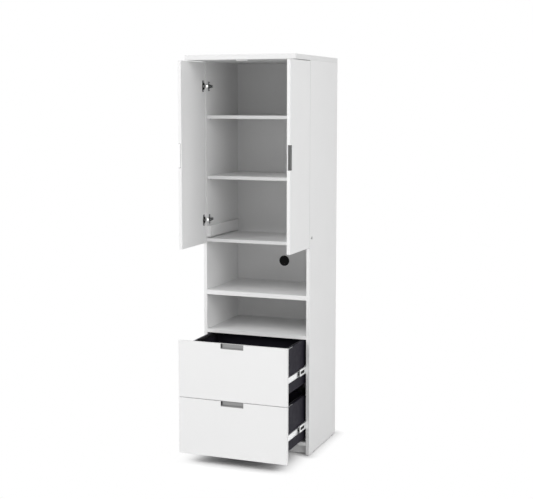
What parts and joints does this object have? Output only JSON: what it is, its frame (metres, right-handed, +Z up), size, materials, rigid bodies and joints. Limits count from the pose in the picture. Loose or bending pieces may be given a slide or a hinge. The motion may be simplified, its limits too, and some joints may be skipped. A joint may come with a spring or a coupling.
{
  "type": "computer armoire",
  "caption": "Tall narrow armoire with hinged doors over open niches and file drawers, and an overhanging top.",
  "frame": {"origin": "floor level, under the middle of the space that the armoire takes as it stands open", "axes": "+Z up, the front looks along -Y, +X to the right of a person who faces the front"},
  "size_m": [0.613, 0.7954, 2.131],
  "materials": {
    "white_board": "satin white laminate on chipboard, same-colour edge band",
    "brushed_aluminium": "brushed, bent sheet",
    "nickel_hinge": "nickel plated pressed steel",
    "zinc_steel": "bright zinc plated",
    "slide_steel": "zinc plated, rolled",
    "drawer_board": "matt anthracite film on fibreboard",
    "black_plastic": "fine matt",
    "black_steel": "fine matt powder coat",
    "white_plastic": "smooth",
    "beech": "plain"
  },
  "bodies": {
    "carcass": {"back_panel": "white_board", "bottom_panel": "white_board", "cable_outlet_cap": "black_plastic", "cable_outlet_ring": "black_plastic", "cams_and_bolts": "zinc_steel", "dowels": "beech", "drawer_bay_shelf": "white_board", "glides": "black_plastic", "hinge_plates": "nickel_hinge", "left_cleat": "white_board", "left_hinge_arms": "nickel_hinge", "left_side_panel": "white_board", "lower_shelf": "white_board", "lower_slide_cabinet_members": "slide_steel", "magnetic_catch": "white_plastic", "niche_shelf": "white_board", "plate_screws": "zinc_steel", "plinth": "white_board", "right_cleat": "white_board", "right_hinge_arms": "nickel_hinge", "right_side_panel": "white_board", "shelf_pins": "zinc_steel", "shelf_runner_cabinet_members": "slide_steel", "top_panel": "white_board", "upper_shelf": "white_board", "upper_slide_cabinet_members": "slide_steel"},
    "left_door": {"left_door_panel": "white_board", "left_door_pull": "brushed_aluminium", "left_hinge_cups": "nickel_hinge", "left_hinge_links": "nickel_hinge", "left_hinge_screws": "zinc_steel"},
    "right_door": {"right_door_panel": "white_board", "right_door_pull": "brushed_aluminium", "right_hinge_cups": "nickel_hinge", "right_hinge_links": "nickel_hinge", "right_hinge_screws": "zinc_steel"},
    "upper_drawer": {"upper_box_back": "drawer_board", "upper_box_bottom": "drawer_board", "upper_box_front": "drawer_board", "upper_box_left_side": "drawer_board", "upper_box_right_side": "drawer_board", "upper_drawer_front": "white_board", "upper_drawer_pull": "brushed_aluminium", "upper_file_rails": "black_steel", "upper_slide_drawer_members": "slide_steel"},
    "lower_drawer": {"lower_box_back": "drawer_board", "lower_box_bottom": "drawer_board", "lower_box_front": "drawer_board", "lower_box_left_side": "drawer_board", "lower_box_right_side": "drawer_board", "lower_drawer_front": "white_board", "lower_drawer_pull": "brushed_aluminium", "lower_file_rails": "black_steel", "lower_slide_drawer_members": "slide_steel"},
    "upper_slide_middle": {"upper_slide_middle_members": "slide_steel"},
    "lower_slide_middle": {"lower_slide_middle_members": "slide_steel"},
    "pull_out": {"pull_out_shelf": "white_board", "pull_out_shelf_lip": "white_board", "shelf_runner_shelf_members": "slide_steel"}
  },
  "joints": [
    {"name": "left_door_hinge", "type": "hinge", "parent": "carcass", "child": "left_door", "pos_m": [-0.298, -0.07425, 1.615], "axis": [0, 0, -1], "range_deg": [-90, 20]},
    {"name": "right_door_hinge", "type": "hinge", "parent": "carcass", "child": "right_door", "pos_m": [0.298, -0.07425, 1.615], "axis": [0, 0, 1], "range_deg": [-90, 20]},
    {"name": "upper_drawer_slide", "type": "slide", "parent": "carcass", "child": "upper_drawer", "axis": [0, -1, 0], "range_m": [-0.315, 0.085]},
    {"name": "lower_drawer_slide", "type": "slide", "parent": "carcass", "child": "lower_drawer", "axis": [0, -1, 0], "range_m": [-0.315, 0.085]},
    {"name": "upper_slide_middle_travel", "type": "slide", "parent": "carcass", "child": "upper_slide_middle", "axis": [0, -1, 0], "range_m": [-0.1575, 0.0425]},
    {"name": "lower_slide_middle_travel", "type": "slide", "parent": "carcass", "child": "lower_slide_middle", "axis": [0, -1, 0], "range_m": [-0.1575, 0.0425]},
    {"name": "pull_out_shelf_slide", "type": "slide", "parent": "carcass", "child": "pull_out", "axis": [0, -1, 0], "range_m": [0, 0.2]}
  ],
  "couplings": [
    {"joint": "upper_slide_middle_travel", "follows": "upper_drawer_slide", "ratio": 0.5},
    {"joint": "lower_slide_middle_travel", "follows": "lower_drawer_slide", "ratio": 0.5}
  ]
}
